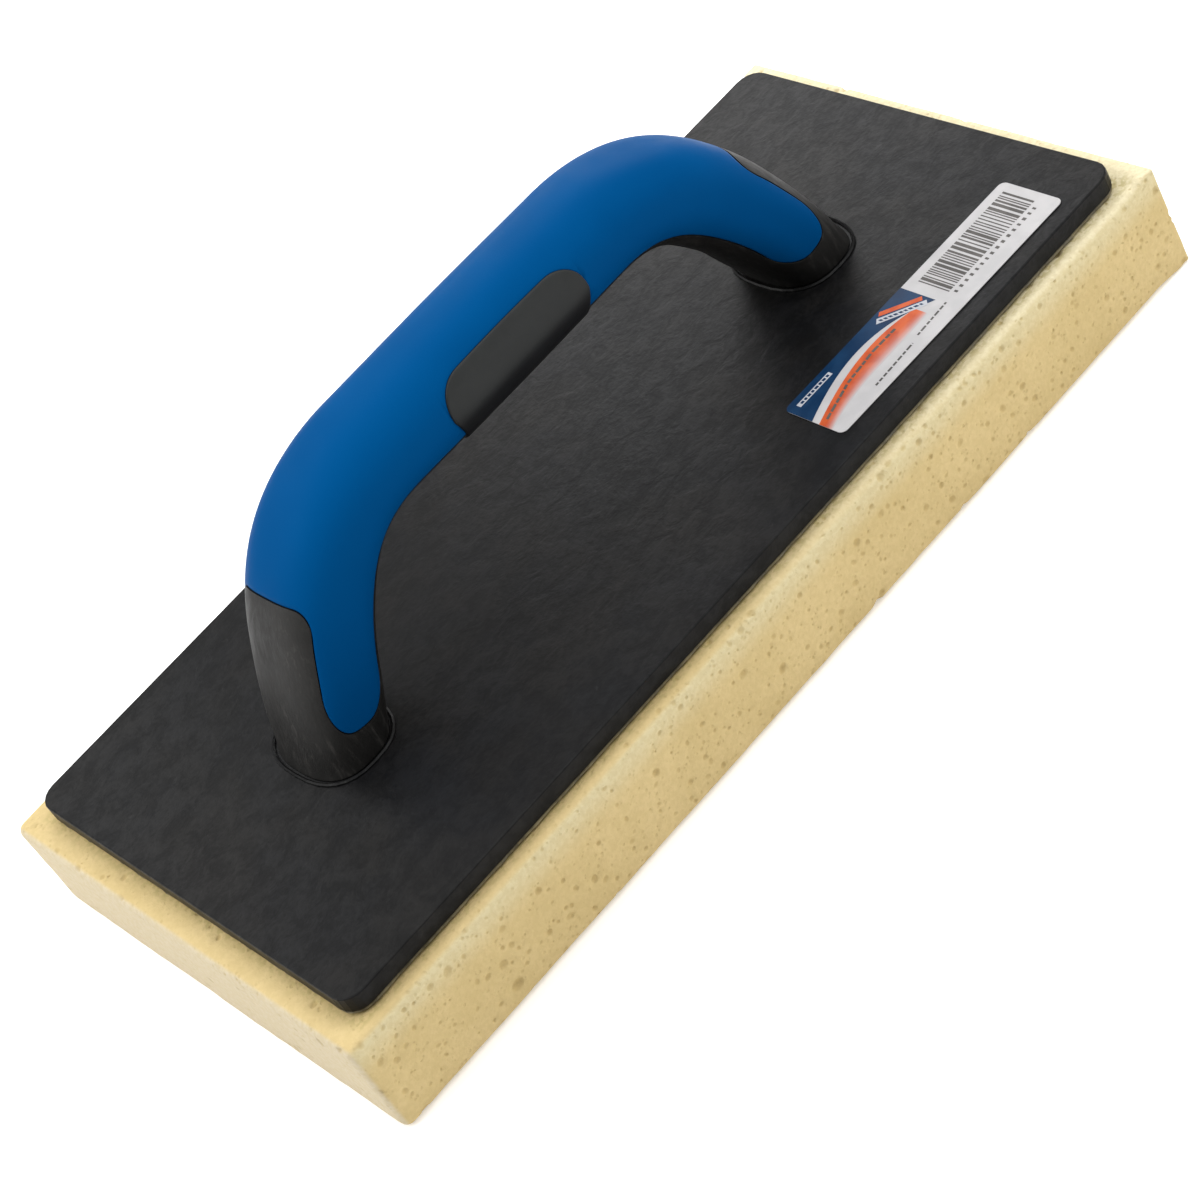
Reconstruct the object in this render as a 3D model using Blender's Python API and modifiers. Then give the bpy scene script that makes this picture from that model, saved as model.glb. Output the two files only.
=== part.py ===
"""Sponge float: a sponge bonded to a moulded board, with an arched two-colour handle screwed on top.

Units are metres. The origin is at the centre of the sponge's working face, +X runs along the
float's length, +Y across it and +Z up through the handle. The sponge was glued on a little out of
line, so everything above it hangs on an empty that stands over the board's centre. The handle's
surface is described by two coordinates: the arc length along its centre line, from the front foot
(+X) to the rear foot, and the angle round its section, 0 and 180 degrees on the two sides, 90 on
the crown, 270 on the belly. A side angle is counted from the nearer side towards the crown.
"""
import math

import bmesh
import bpy
import numpy as np
from mathutils import Matrix

# Gaps between pieces that touch.
GAP = 0.0003
RECESS_GAP = 0.0004
LABEL_GAP = 0.0001

# Sponge, glue film and board, stacked from the working face up.
SPONGE_SIZE = (0.280, 0.140, 0.029)
SPONGE_CORNER = 0.0022
SPONGE_EDGE = 0.0012
GLUE_SIZE = (0.2644, 0.1264, 0.0006)
GLUE_CORNER = 0.0050
BOARD_SIZE = (0.266, 0.128, 0.0048)
BOARD_CORNER = 0.0055
BOARD_EDGE = 0.0004
GLUE_BOTTOM = SPONGE_SIZE[2] + GAP
BOARD_BOTTOM = GLUE_BOTTOM + GLUE_SIZE[2] + GAP
BOARD_TOP = BOARD_BOTTOM + BOARD_SIZE[2]
BOARD_OFFSET = (0.0005, -0.0016, 0.0)

# Printed label on the board.
LABEL_SIZE = (0.0800, 0.0202, 0.0002)
LABEL_CORNER = 0.0018
LABEL_EDGE = 0.00004
LABEL_CENTRE = (0.0795, -0.0484)
LABEL_TURN = math.radians(-1.0)

# Centre line of the handle: a foot, a leg that leans inward, a wide bend and a straight grip.
FOOT_X = 0.0825
HANDLE_BASE = BOARD_TOP + GAP
LEG_LEAN = math.radians(26.0)
LEG_PULL = 0.0157
BEND_PULL = 0.0322
GRIP_HALF_LENGTH = 0.0353
GRIP_HEIGHT = 0.0501
UPRIGHT_HEIGHT = 0.022

# Section of the handle, a superellipse: share of the way from foot to mid-grip, half-width across
# the float, and half-thickness in the plane of the arch.
SECTIONS = (
    (0.00, 0.0158, 0.0114),
    (0.18, 0.0155, 0.0116),
    (0.36, 0.0150, 0.0124),
    (0.58, 0.0152, 0.0115),
    (1.00, 0.0145, 0.0124),
)
SECTION_POWER = 2.5
MEAN_RADIUS = 0.0145

# Blue cover: angles in degrees from the side of the handle, towards the crown or the belly.
COVER_THICKNESS = 0.0020
TONGUE_CROWN_ANGLE = 38.0
TONGUE_BELLY_ANGLE = 35.0
TONGUE_TIP = 0.0088
TONGUE_ROUND = 0.0100
PANEL_TOP = 0.0377
PANEL_CORNER = 0.0050
PANEL_CORNER_ANGLE = 24.0
EDGE_STEP_ANGLE = 0.5
EDGE_STEP = 0.0001
LEG_ZONE = 0.0460

# Finger pad: it wraps round the belly of the grip and up both sides.
PAD_CENTRE_X = 0.0012
PAD_HALF_LENGTH = 0.0223
PAD_ROUND = 0.0080
PAD_TOP_ANGLE = 31.0
PAD_SHOULDER_ANGLE = -5.0
PAD_PROUD = 0.0005
PAD_WAIST = 0.0026
PAD_WAIST_ANGLE = 55.0
COVER_KEEP_ANGLE = 36.0

# Oval sockets that the feet stand in.
SOCKET_CLEARANCE = 0.0007
SOCKET_RIM_WIDTH = 0.0008
SOCKET_RIM_HEIGHT = 0.0007
SOCKET_SHOULDER = 0.0004
SOCKET_ROOT = 0.0010

# Countersunk self-tapping screws, two up into each leg.
SCREW_X = 0.0800
SCREW_Y = 0.0070
SCREW_RADIUS = 0.0020
SCREW_CORE_RADIUS = 0.0015
SCREW_HEAD_RADIUS = 0.0040
SCREW_HEAD_RIM = 0.0003
SCREW_LENGTH = 0.0200
SCREW_POINT = 0.0030
THREAD_PITCH = 0.0018
THREAD_TURNS = 7
THREAD_RISE = 0.35
THREAD_RUN = 0.70
RECESS_WIDTH = 0.0008
RECESS_SPAN = 0.0042
RECESS_DEPTH = 0.0012
BORE_DEPTH = 0.0185
SCREW_SEGMENTS = 14

# How far a cutter runs past the face that it opens.
CUT_PAST = 0.001

# Where the handle's grid of faces has its columns, as side angles, and its rows.
COLUMNS_CROWN = (90.0, 73.0, 58.0, 46.0)
COLUMNS_SIDE = (29.0, 16.0, 0.0, -16.0, -28.0)
COLUMNS_BELLY = (-50.0, -70.0, -90.0)
END_SHARES = (0.0, 0.10, 0.28, 0.52, 0.76)
BEND_ROWS = 9
PAD_SHARES = (1.0, 0.93, 0.72, 0.40, 0.0)
PAD_MID_ROWS = 3
PAD_COLUMNS = 15
PATH_STEPS = 61
OVAL_STEPS = 32


def clear_scene():
    for item in list(bpy.data.objects):
        bpy.data.objects.remove(item, do_unlink=True)


def make_collection(name):
    collection = bpy.data.collections.new(name)
    bpy.context.scene.collection.children.link(collection)
    return collection


def make_material(name, colour, roughness, metallic=0.0):
    material = bpy.data.materials.new(name)
    material.use_nodes = True
    shader = material.node_tree.nodes["Principled BSDF"]
    shader.inputs["Base Color"].default_value = (*colour, 1.0)
    shader.inputs["Roughness"].default_value = roughness
    shader.inputs["Metallic"].default_value = metallic
    return material


def make_object(name, shape, collection, material=None, smooth_angle=30.0):
    """Turns a bmesh into a named object, smooth apart from edges sharper than smooth_angle."""
    bmesh.ops.recalc_face_normals(shape, faces=shape.faces)
    mesh = bpy.data.meshes.new(name)
    shape.to_mesh(mesh)
    shape.free()
    mesh.shade_smooth()
    mesh.set_sharp_from_angle(angle=math.radians(smooth_angle))
    item = bpy.data.objects.new(name, mesh)
    collection.objects.link(item)
    if material:
        mesh.materials.append(material)
    return item


def make_cutter(name, shape, cutters):
    item = make_object(name, shape, cutters)
    item.hide_render = True
    item.display_type = "WIRE"
    return item


def combine(item, other, operation):
    modifier = item.modifiers.new(other.name, "BOOLEAN")
    modifier.operation = operation
    modifier.solver = "EXACT"
    modifier.object = other


def rounded_slab(size, corner, edge, bottom, edge_segments=2):
    """A flat box with rounded upright corners and softened top and bottom edges."""
    shape = bmesh.new()
    middle = Matrix.Translation((0.0, 0.0, bottom + size[2] / 2))
    bmesh.ops.create_cube(shape, size=1.0, matrix=middle @ Matrix.Diagonal((*size, 1.0)))
    upright = [e for e in shape.edges if abs(e.verts[0].co.z - e.verts[1].co.z) > size[2] / 2]
    bmesh.ops.bevel(shape, geom=upright, offset=corner, segments=5, profile=0.5, affect="EDGES")
    level = [e for e in shape.edges if abs(e.verts[0].co.z - e.verts[1].co.z) < size[2] / 4]
    bmesh.ops.bevel(shape, geom=level, offset=edge, segments=edge_segments, profile=0.5, affect="EDGES")
    return shape


def handle_path():
    """Arc length, centre (x, z above the feet) and section tilt, at close steps along the handle."""
    foot = np.array((FOOT_X, 0.0))
    leg_end = foot + LEG_PULL * np.array((-math.sin(LEG_LEAN), math.cos(LEG_LEAN)))
    grip_end = np.array((GRIP_HALF_LENGTH, GRIP_HEIGHT))
    bend_start = grip_end + np.array((BEND_PULL, 0.0))
    t = np.linspace(0.0, 1.0, PATH_STEPS)[:, None]
    bend = (1 - t) ** 3 * foot + 3 * (1 - t) ** 2 * t * leg_end
    bend = bend + 3 * (1 - t) * t ** 2 * bend_start + t ** 3 * grip_end
    half = np.vstack((bend, ((GRIP_HALF_LENGTH / 2, GRIP_HEIGHT), (0.0, GRIP_HEIGHT))))
    whole = np.vstack((half, half[-2::-1] * (-1.0, 1.0)))
    steps = np.linalg.norm(np.diff(whole, axis=0), axis=1)
    length = np.concatenate(((0.0,), np.cumsum(steps)))
    heading = np.unwrap(np.arctan2(np.gradient(whole[:, 1], length), np.gradient(whole[:, 0], length)))
    upright = np.where(length < length[-1] / 2, math.pi / 2, 3 * math.pi / 2)
    share = np.clip(whole[:, 1] / UPRIGHT_HEIGHT, 0.0, 1.0)
    share = share * share * (3 - 2 * share)
    return length, whole[:, 0], whole[:, 1], upright + (heading - upright) * share


PATH = handle_path()
HANDLE_LENGTH = float(PATH[0][-1])
PAD_CENTRE = HANDLE_LENGTH / 2 - PAD_CENTRE_X


def section_size(station):
    """Half-width and half-thickness of the handle's section, eased between the named sections."""
    share = min(station, HANDLE_LENGTH - station) / (HANDLE_LENGTH / 2)
    share = min(max(share, 0.0), 1.0)
    for before, after in zip(SECTIONS, SECTIONS[1:]):
        if share <= after[0]:
            t = (share - before[0]) / (after[0] - before[0])
            t = t * t * (3 - 2 * t)
            return [before[k] + (after[k] - before[k]) * t for k in (1, 2)]
    return SECTIONS[-1][1:]


def round_off(share):
    """Drop of a quarter circle of radius 1 at a share of its run."""
    share = min(max(share, 0.0), 1.0)
    return 1 - math.sqrt(1 - share * share)


def surface_point(station, angle, depth=0.0):
    """A point at an arc length and a section angle in degrees, at a depth below the surface."""
    half_width, half_thickness = section_size(station)
    x = np.interp(station, PATH[0], PATH[1])
    z = np.interp(station, PATH[0], PATH[2])
    heading = np.interp(station, PATH[0], PATH[3])
    turn = math.radians(angle)
    across = math.copysign(abs(math.cos(turn)) ** (2 / SECTION_POWER), math.cos(turn))
    outward = math.copysign(abs(math.sin(turn)) ** (2 / SECTION_POWER), math.sin(turn))
    reach = (half_thickness - depth) * outward
    return (
        x + math.sin(heading) * reach,
        (half_width - depth) * across,
        HANDLE_BASE + z - math.cos(heading) * reach,
    )


def cover_start(side_angle, grow=0.0):
    """Arc length from the foot to the blue cover's edge, at an angle from the handle's side."""
    widen = math.degrees(grow / MEAN_RADIUS)
    crown_edge = TONGUE_CROWN_ANGLE + widen
    if side_angle > crown_edge:
        corner_start = crown_edge + PANEL_CORNER_ANGLE
        over = (corner_start - side_angle) / PANEL_CORNER_ANGLE
        return PANEL_TOP - grow - PANEL_CORNER * round_off(over)
    reach = crown_edge if side_angle > 0 else TONGUE_BELLY_ANGLE + widen
    return TONGUE_TIP - grow + TONGUE_ROUND * round_off(abs(side_angle) / reach)


def pad_top(station, grow=0.0):
    """Side angle of the finger pad's upper edge, its end rounded off; none beyond the pad's end."""
    along = abs(station - PAD_CENTRE) - (PAD_HALF_LENGTH + grow - PAD_ROUND)
    if along > PAD_ROUND + EDGE_STEP / 2:
        return None
    top = PAD_TOP_ANGLE + math.degrees(grow / MEAN_RADIUS)
    return top - (top - PAD_SHOULDER_ANGLE) * round_off(along / PAD_ROUND)


def leg_rows(grow):
    """Rows up the front leg, each a function from a side angle to an arc length."""
    rows = []
    for share in END_SHARES:
        rows.append(lambda angle, s=share: cover_start(angle, grow) * (1 - s) + LEG_ZONE * s)
    return rows


def mirrored(rows):
    return [lambda angle, row=row: HANDLE_LENGTH - row(angle) for row in reversed(rows)]


def level_rows(stations):
    return [lambda angle, s=station: s for station in stations]


def waisted_row(offset, waist):
    """A row across the grip that draws in towards the pad's middle as it nears the belly."""

    def row(angle):
        share = (PAD_SHOULDER_ANGLE - angle) / PAD_WAIST_ANGLE
        share = min(max(share, 0.0), 1.0)
        return PAD_CENTRE + offset * (1 - share * waist / PAD_HALF_LENGTH)

    return row


def pad_rows(grow, rim=0.0):
    """Rows that shape the finger pad's two round ends and its middle, with a rim row beyond each."""
    offsets = [PAD_HALF_LENGTH + grow - PAD_ROUND * (1 - share) for share in PAD_SHARES]
    inner = np.linspace(-offsets[-1], offsets[-1], PAD_MID_ROWS + 2)[1:-1]
    if rim:
        offsets.insert(0, offsets[0] + rim)
    every = [-value for value in offsets] + list(inner) + list(reversed(offsets))
    return [waisted_row(value, PAD_WAIST - 2 * grow) for value in every]


def grid_rows(grow):
    """Rows of the cover and the core between the two tongue tips, front to rear."""
    shaped = pad_rows(GAP, EDGE_STEP)
    before = np.linspace(LEG_ZONE, shaped[0](0.0), BEND_ROWS)[:-1]
    after = np.linspace(shaped[-1](0.0), HANDLE_LENGTH - LEG_ZONE, BEND_ROWS)[1:]
    ends = leg_rows(grow)
    return ends + level_rows(before) + shaped + level_rows(after) + mirrored(ends)


def cover_columns(grow):
    """Side angles from the crown down to the cover's belly edge, with a pair at the tongue's edge."""
    widen = math.degrees(grow / MEAN_RADIUS)
    edge = TONGUE_CROWN_ANGLE + widen
    pair = (edge + EDGE_STEP_ANGLE, edge - EDGE_STEP_ANGLE)
    return [*COLUMNS_CROWN, *pair, *COLUMNS_SIDE, -TONGUE_BELLY_ANGLE - widen]


def both_sides(angles):
    """Turns side angles, from the crown down, into section angles from one side to the other."""
    near = [angle for angle in reversed(angles) if angle < 90.0]
    far = [180.0 - angle for angle in angles]
    return near + far


def side_angle(angle):
    if angle > 270.0:
        return angle - 360.0
    return angle if angle < 90.0 else 180.0 - angle


def squeezed(angle, top):
    """Moves a side angle of the cover up, so that the cover stops above the finger pad."""
    if top is None or angle > COVER_KEEP_ANGLE:
        return angle
    share = (COVER_KEEP_ANGLE - angle) / (COVER_KEEP_ANGLE + TONGUE_BELLY_ANGLE)
    return COVER_KEEP_ANGLE - share * (COVER_KEEP_ANGLE - top)


def join_rows(shape, rows, closed):
    for lower, upper in zip(rows, rows[1:]):
        count = len(lower)
        for here in range(count if closed else count - 1):
            there = (here + 1) % count
            shape.faces.new((lower[here], lower[there], upper[there], upper[here]))


def close_shell(shape, outer, inner):
    """Joins the rims of two open grids that lie one above the other."""
    join_rows(shape, [outer[0], inner[0]], closed=False)
    join_rows(shape, [outer[-1], inner[-1]], closed=False)
    join_rows(shape, [[row[0] for row in outer], [row[0] for row in inner]], closed=False)
    join_rows(shape, [[row[-1] for row in outer], [row[-1] for row in inner]], closed=False)


def build_cover(collection):
    """Blue overmould: a skin over the crown, with a tongue down each side of each leg."""
    shape = bmesh.new()
    layers = []
    for depth in (0.0, COVER_THICKNESS):
        layer = []
        for row in grid_rows(0.0):
            points = []
            for angle in both_sides(cover_columns(0.0)):
                side = squeezed(side_angle(angle), pad_top(row(0.0), GAP))
                turn = side if angle < 90.0 else 180.0 - side
                points.append(shape.verts.new(surface_point(row(side), turn, depth)))
            layer.append(points)
        join_rows(shape, layer, closed=False)
        layers.append(layer)
    close_shell(shape, *layers)
    blue = make_material("blue_soft_plastic", (0.004, 0.085, 0.330), 0.45)
    return make_object("grip_cover", shape, collection, blue, smooth_angle=50.0)


def core_depth(index, count, angle, cover_edge, station):
    """How far the core lies below the handle's surface, to leave room for the cover and the pad."""
    room = COVER_THICKNESS + GAP
    if pad_top(station, GAP) is not None:
        return room
    under_cover = side_angle(angle) >= cover_edge
    between_tips = 2 <= index < count - 2
    return room if under_cover and between_tips else 0.0


def build_core(collection, cutters):
    """Black moulding: shows on the legs' outer faces, the feet and the whole inside of the arch."""
    inner_rows = grid_rows(RECESS_GAP)
    foot_row = level_rows([0.0])
    tip_row = [lambda angle: cover_start(angle, RECESS_GAP) - EDGE_STEP]
    rows = foot_row + tip_row + inner_rows + mirrored(tip_row) + mirrored(foot_row)
    columns = cover_columns(RECESS_GAP)
    cover_edge = columns[-1]
    below = cover_edge - EDGE_STEP_ANGLE * 2
    columns = both_sides([*columns, below, *COLUMNS_BELLY])[:-1]
    shape = bmesh.new()
    grid = []
    for index, row in enumerate(rows):
        points = []
        for angle in columns:
            depth = core_depth(index, len(rows), angle, cover_edge, row(0.0))
            points.append(shape.verts.new(surface_point(row(side_angle(angle)), angle, depth)))
        grid.append(points)
    join_rows(shape, grid, closed=True)
    shape.faces.new(grid[0])
    shape.faces.new(grid[-1])
    black = make_material("black_hard_plastic", (0.040, 0.038, 0.036), 0.55)
    core = make_object("handle_core", shape, collection, black, smooth_angle=50.0)
    combine(core, build_bores(cutters), "DIFFERENCE")
    return core


def build_pad(collection):
    """Black finger pad: a saddle round the belly of the grip, a little proud of the cover."""
    shape = bmesh.new()
    columns = np.linspace(-1.0, 1.0, PAD_COLUMNS)
    layers = []
    for depth in (-PAD_PROUD, COVER_THICKNESS):
        layer = []
        for row in pad_rows(0.0):
            points = []
            for column in columns:
                angle = 270.0 + (90.0 + pad_top(row(0.0))) * column
                station = row(side_angle(angle))
                points.append(shape.verts.new(surface_point(station, angle, depth)))
            layer.append(points)
        join_rows(shape, layer, closed=False)
        layers.append(layer)
    close_shell(shape, *layers)
    rubber = make_material("black_soft_pad", (0.030, 0.029, 0.028), 0.60)
    return make_object("finger_pad", shape, collection, rubber, smooth_angle=50.0)


def screw_places():
    return [(x, y) for x in (SCREW_X, -SCREW_X) for y in (SCREW_Y, -SCREW_Y)]


def add_cylinder(shape, place, bottom, top, bottom_radius, top_radius):
    middle = Matrix.Translation((*place, (bottom + top) / 2))
    bmesh.ops.create_cone(
        shape,
        cap_ends=True,
        segments=SCREW_SEGMENTS,
        radius1=bottom_radius,
        radius2=top_radius,
        depth=top - bottom,
        matrix=middle,
    )


def build_bores(cutters):
    """Blind bores up into the legs for the four screws."""
    radius = SCREW_RADIUS + GAP
    shape = bmesh.new()
    for place in screw_places():
        top = HANDLE_BASE + BORE_DEPTH
        add_cylinder(shape, place, HANDLE_BASE - CUT_PAST, top, radius, radius)
    return make_cutter("leg_bores", shape, cutters)


def oval_ring(shape, foot_x, grow, height):
    """One loop of vertices round a foot's section, grown outward all round."""
    half_width, half_thickness = SECTIONS[0][1:]
    ring = []
    for step in range(OVAL_STEPS):
        turn = 2 * math.pi * step / OVAL_STEPS
        x = math.copysign(abs(math.cos(turn)) ** (2 / SECTION_POWER), math.cos(turn))
        y = math.copysign(abs(math.sin(turn)) ** (2 / SECTION_POWER), math.sin(turn))
        place = (foot_x + (half_thickness + grow) * x, (half_width + grow) * y, height)
        ring.append(shape.verts.new(place))
    return ring


def build_rim(name, foot_x, cutters):
    """A low oval rim, rooted in the board, that a foot stands inside."""
    inner = SOCKET_CLEARANCE
    outer = SOCKET_CLEARANCE + SOCKET_RIM_WIDTH
    crown = (inner + outer) / 2
    root = BOARD_TOP - SOCKET_ROOT
    shoulder = BOARD_TOP + SOCKET_SHOULDER
    top = BOARD_TOP + SOCKET_RIM_HEIGHT
    shape = bmesh.new()
    profile = ((inner, root), (inner, shoulder), (crown, top), (outer, shoulder), (outer, root))
    loops = [oval_ring(shape, foot_x, grow, height) for grow, height in profile]
    join_rows(shape, [*loops, loops[0]], closed=True)
    return make_cutter(name, shape, cutters)


def build_screw_holes(cutters):
    """Countersunk through holes for the four screws, open on the board's underside."""
    radius = SCREW_RADIUS + GAP
    flare = SCREW_HEAD_RADIUS + GAP * 2
    below = BOARD_BOTTOM - CUT_PAST
    mouth = BOARD_BOTTOM + SCREW_HEAD_RIM + GAP * 2
    waist = radius - CUT_PAST / 4
    steps = (
        ("screw_holes", below, BOARD_TOP + CUT_PAST, radius, radius),
        ("head_mouths", below, mouth, flare, flare),
        ("head_cones", mouth - CUT_PAST / 20, mouth + flare - waist, flare, waist),
    )
    holes = []
    for name, *sizes in steps:
        shape = bmesh.new()
        for place in screw_places():
            add_cylinder(shape, place, *sizes)
        holes.append(make_cutter(name, shape, cutters))
    return holes


def build_board(collection, cutters):
    shape = rounded_slab(BOARD_SIZE, BOARD_CORNER, BOARD_EDGE, BOARD_BOTTOM)
    black = make_material("black_board_plastic", (0.022, 0.021, 0.022), 0.62)
    board = make_object("backing_board", shape, collection, black)
    combine(board, build_rim("front_socket_rim", FOOT_X, cutters), "UNION")
    combine(board, build_rim("rear_socket_rim", -FOOT_X, cutters), "UNION")
    for cutter in build_screw_holes(cutters):
        combine(board, cutter, "DIFFERENCE")
    return board


def screw_profile():
    """Half outline of a screw from its tip down to its head: radius and height above the head."""
    thread_start = SCREW_LENGTH - SCREW_POINT
    points = [(0.0, SCREW_LENGTH), (SCREW_CORE_RADIUS, thread_start)]
    for turn in range(THREAD_TURNS):
        low = thread_start - turn * THREAD_PITCH
        points.append((SCREW_RADIUS, low - THREAD_PITCH * THREAD_RISE))
        points.append((SCREW_CORE_RADIUS, low - THREAD_PITCH * THREAD_RUN))
    neck = SCREW_HEAD_RIM + SCREW_HEAD_RADIUS - SCREW_RADIUS
    points.append((SCREW_RADIUS, points[-1][1] - THREAD_PITCH * THREAD_RISE))
    points.append((SCREW_RADIUS, neck))
    points.append((SCREW_HEAD_RADIUS, SCREW_HEAD_RIM))
    points.append((SCREW_HEAD_RADIUS, 0.0))
    points.append((0.0, 0.0))
    return points


def build_screw(number, place, steel, collection, cutters):
    """A countersunk screw, head down, turned from its outline, with a cross recess in its head."""
    name = f"handle_screw_{number}"
    head = BOARD_BOTTOM + GAP
    mesh = bpy.data.meshes.new(name)
    points = screw_profile()
    edges = [(k, k + 1) for k in range(len(points) - 1)]
    mesh.from_pydata([(radius, 0.0, height) for radius, height in points], edges, [])
    mesh.materials.append(steel)
    screw = bpy.data.objects.new(name, mesh)
    screw.location = (*place, head)
    collection.objects.link(screw)
    turned = screw.modifiers.new("turned", "SCREW")
    turned.steps = SCREW_SEGMENTS
    turned.render_steps = SCREW_SEGMENTS
    turned.use_merge_vertices = True
    turned.merge_threshold = 0.00001
    turned.use_smooth_shade = True
    for arm, span in enumerate(((RECESS_SPAN, RECESS_WIDTH), (RECESS_WIDTH, RECESS_SPAN)), start=1):
        shape = bmesh.new()
        size = Matrix.Diagonal((*span, 2 * RECESS_DEPTH, 1.0))
        bmesh.ops.create_cube(shape, size=1.0, matrix=Matrix.Translation((*place, head)) @ size)
        combine(screw, make_cutter(f"recess_{number}_arm_{arm}", shape, cutters), "DIFFERENCE")
    return screw


def hang_on_board(parts, cutters):
    """Puts the board and all that it carries over the sponge, by one empty that they hang on."""
    datum = bpy.data.objects.new("board_datum", None)
    datum.location = BOARD_OFFSET
    parts.objects.link(datum)
    for item in [*parts.objects, *cutters.objects]:
        if item not in (datum, bpy.data.objects["sponge_pad"]):
            item.parent = datum


def build_layers(collection):
    """The sponge and the glue film under the board."""
    cream = make_material("cream_sponge", (0.640, 0.500, 0.270), 0.95)
    shape = rounded_slab(SPONGE_SIZE, SPONGE_CORNER, SPONGE_EDGE, 0.0)
    make_object("sponge_pad", shape, collection, cream)
    amber = make_material("amber_glue", (0.110, 0.085, 0.030), 0.50)
    shape = rounded_slab(GLUE_SIZE, GLUE_CORNER, GLUE_SIZE[2] / 5, GLUE_BOTTOM, edge_segments=1)
    make_object("adhesive_layer", shape, collection, amber)


def build_label(collection):
    paper = make_material("white_label_paper", (0.720, 0.710, 0.730), 0.40)
    shape = rounded_slab(LABEL_SIZE, LABEL_CORNER, LABEL_EDGE, 0.0, edge_segments=1)
    label = make_object("product_label", shape, collection, paper)
    label.location = (*LABEL_CENTRE, BOARD_TOP + LABEL_GAP)
    label.rotation_euler = (0.0, 0.0, LABEL_TURN)


def main():
    clear_scene()
    parts = make_collection("sponge_float")
    cutters = make_collection("cutters")
    build_layers(parts)
    build_board(parts, cutters)
    build_core(parts, cutters)
    build_cover(parts)
    build_pad(parts)
    steel = make_material("zinc_plated_steel", (0.560, 0.550, 0.520), 0.35, 1.0)
    for number, place in enumerate(screw_places(), start=1):
        build_screw(number, place, steel, parts, cutters)
    build_label(parts)
    hang_on_board(parts, cutters)


main()
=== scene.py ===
"""Looks of a sponge float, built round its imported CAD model.

Units are metres, +Z up, +X along the float. Places come from the CAD nodes' boxes. The handle's
surface is described, as in the CAD, by the arc length along its centre line and the angle round
its section: 0 and 180 degrees on the sides, 90 on the crown, 270 on the belly. A side angle is
counted from the nearer side, towards the crown.
"""

import math
import random

import bmesh
import bpy
import numpy as np
from mathutils import Matrix, Vector, kdtree, noise
from mathutils.geometry import delaunay_2d_cdt


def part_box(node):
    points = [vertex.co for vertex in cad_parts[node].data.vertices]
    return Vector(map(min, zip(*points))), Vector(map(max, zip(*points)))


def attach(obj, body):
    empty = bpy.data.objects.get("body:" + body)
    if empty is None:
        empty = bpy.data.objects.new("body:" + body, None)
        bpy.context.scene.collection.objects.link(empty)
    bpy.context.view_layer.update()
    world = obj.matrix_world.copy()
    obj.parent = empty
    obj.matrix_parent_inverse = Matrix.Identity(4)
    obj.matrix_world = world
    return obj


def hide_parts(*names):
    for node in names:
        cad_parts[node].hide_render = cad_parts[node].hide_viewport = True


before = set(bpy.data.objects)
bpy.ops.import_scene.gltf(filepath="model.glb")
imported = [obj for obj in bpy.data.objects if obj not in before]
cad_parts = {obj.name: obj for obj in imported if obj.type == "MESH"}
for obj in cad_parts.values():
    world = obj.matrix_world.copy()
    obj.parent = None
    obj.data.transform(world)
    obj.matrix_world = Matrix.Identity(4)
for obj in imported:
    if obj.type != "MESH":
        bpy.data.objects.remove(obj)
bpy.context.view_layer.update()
MM = 0.001

# Handle, with the driving dimensions of its CAD node, but for the legs' power and the pad's waist.
FOOT_X = 0.0825
LEG_LEAN = math.radians(26.0)
LEG_PULL = 0.0157
BEND_PULL = 0.0322
GRIP_HALF_LENGTH = 0.0353
GRIP_HEIGHT = 0.0501
UPRIGHT_HEIGHT = 0.022
PATH_STEPS = 241
SECTIONS = (
    (0.00, 0.0158, 0.0114),
    (0.18, 0.0155, 0.0116),
    (0.36, 0.0150, 0.0124),
    (0.58, 0.0152, 0.0115),
    (1.00, 0.0145, 0.0124),
)
SECTION_POWER = 2.5
# Squarer outer side of the legs, where it comes in and where it fades out.
LEG_POWER = 3.0
LEG_POWER_FROM = 0.0
LEG_POWER_FULL = 0.0100
LEG_POWER_UNTIL = 0.044
LEG_POWER_GONE = 0.070
MEAN_RADIUS = 0.0145
GAP = 0.0003
RECESS_GAP = 0.00006
COVER_THICKNESS = 0.0020
TONGUE_CROWN_ANGLE = 38.0
TONGUE_BELLY_ANGLE = 35.0
TONGUE_TIP = 0.0088
TONGUE_ROUND = 0.0100
PANEL_TOP = 0.0377
PANEL_CORNER = 0.0050
PANEL_CORNER_ANGLE = 24.0
LEG_ZONE = 0.0460
PAD_CENTRE_X = 0.0012
PAD_HALF_LENGTH = 0.0223
PAD_ROUND = 0.0080
PAD_TOP_ANGLE = 31.0
PAD_SHOULDER_ANGLE = -5.0
PAD_PROUD = 0.0005
PAD_WAIST = 0.0028
PAD_WAIST_ANGLE = 55.0
COVER_KEEP_ANGLE = 36.0
EDGE_STEP = 0.0001
EDGE_STEP_ANGLE = 0.5
CORNER = PANEL_TOP - PANEL_CORNER
TONGUE_ROWS = 30
TONGUE_CROWDING = 1.3

# Soft edges of the mouldings; the cover and the pad meet with hardly a gap.
COVER_EDGE = 0.00035
COVER_EDGE_BY_PAD = 0.00015
CORE_EDGE = 0.00015
PAD_EDGE = 0.0004
PAD_FILL = 0.00028
PAD_RIDGE = 0.0004
PAD_RIDGE_ANGLE = -6.0
PAD_RIDGE_REACH = 17.0
PAD_RIDGE_INSET = 0.004
# Side angles over which the pad's painted light comes in; below them its lower facet is painted in shade.
PAD_PAINTED_LIGHT_FROM = -15.0
PAD_PAINTED_LIGHT_FULL = 0.0
BY_PAD_REACH = 0.006


def spread(start, end, count):
    """Values from start to end, closer together near both."""
    return start + (end - start) * (1 - np.cos(np.linspace(0.0, math.pi, count))) / 2


# ------------------------------------------------------------------ handle surface

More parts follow.
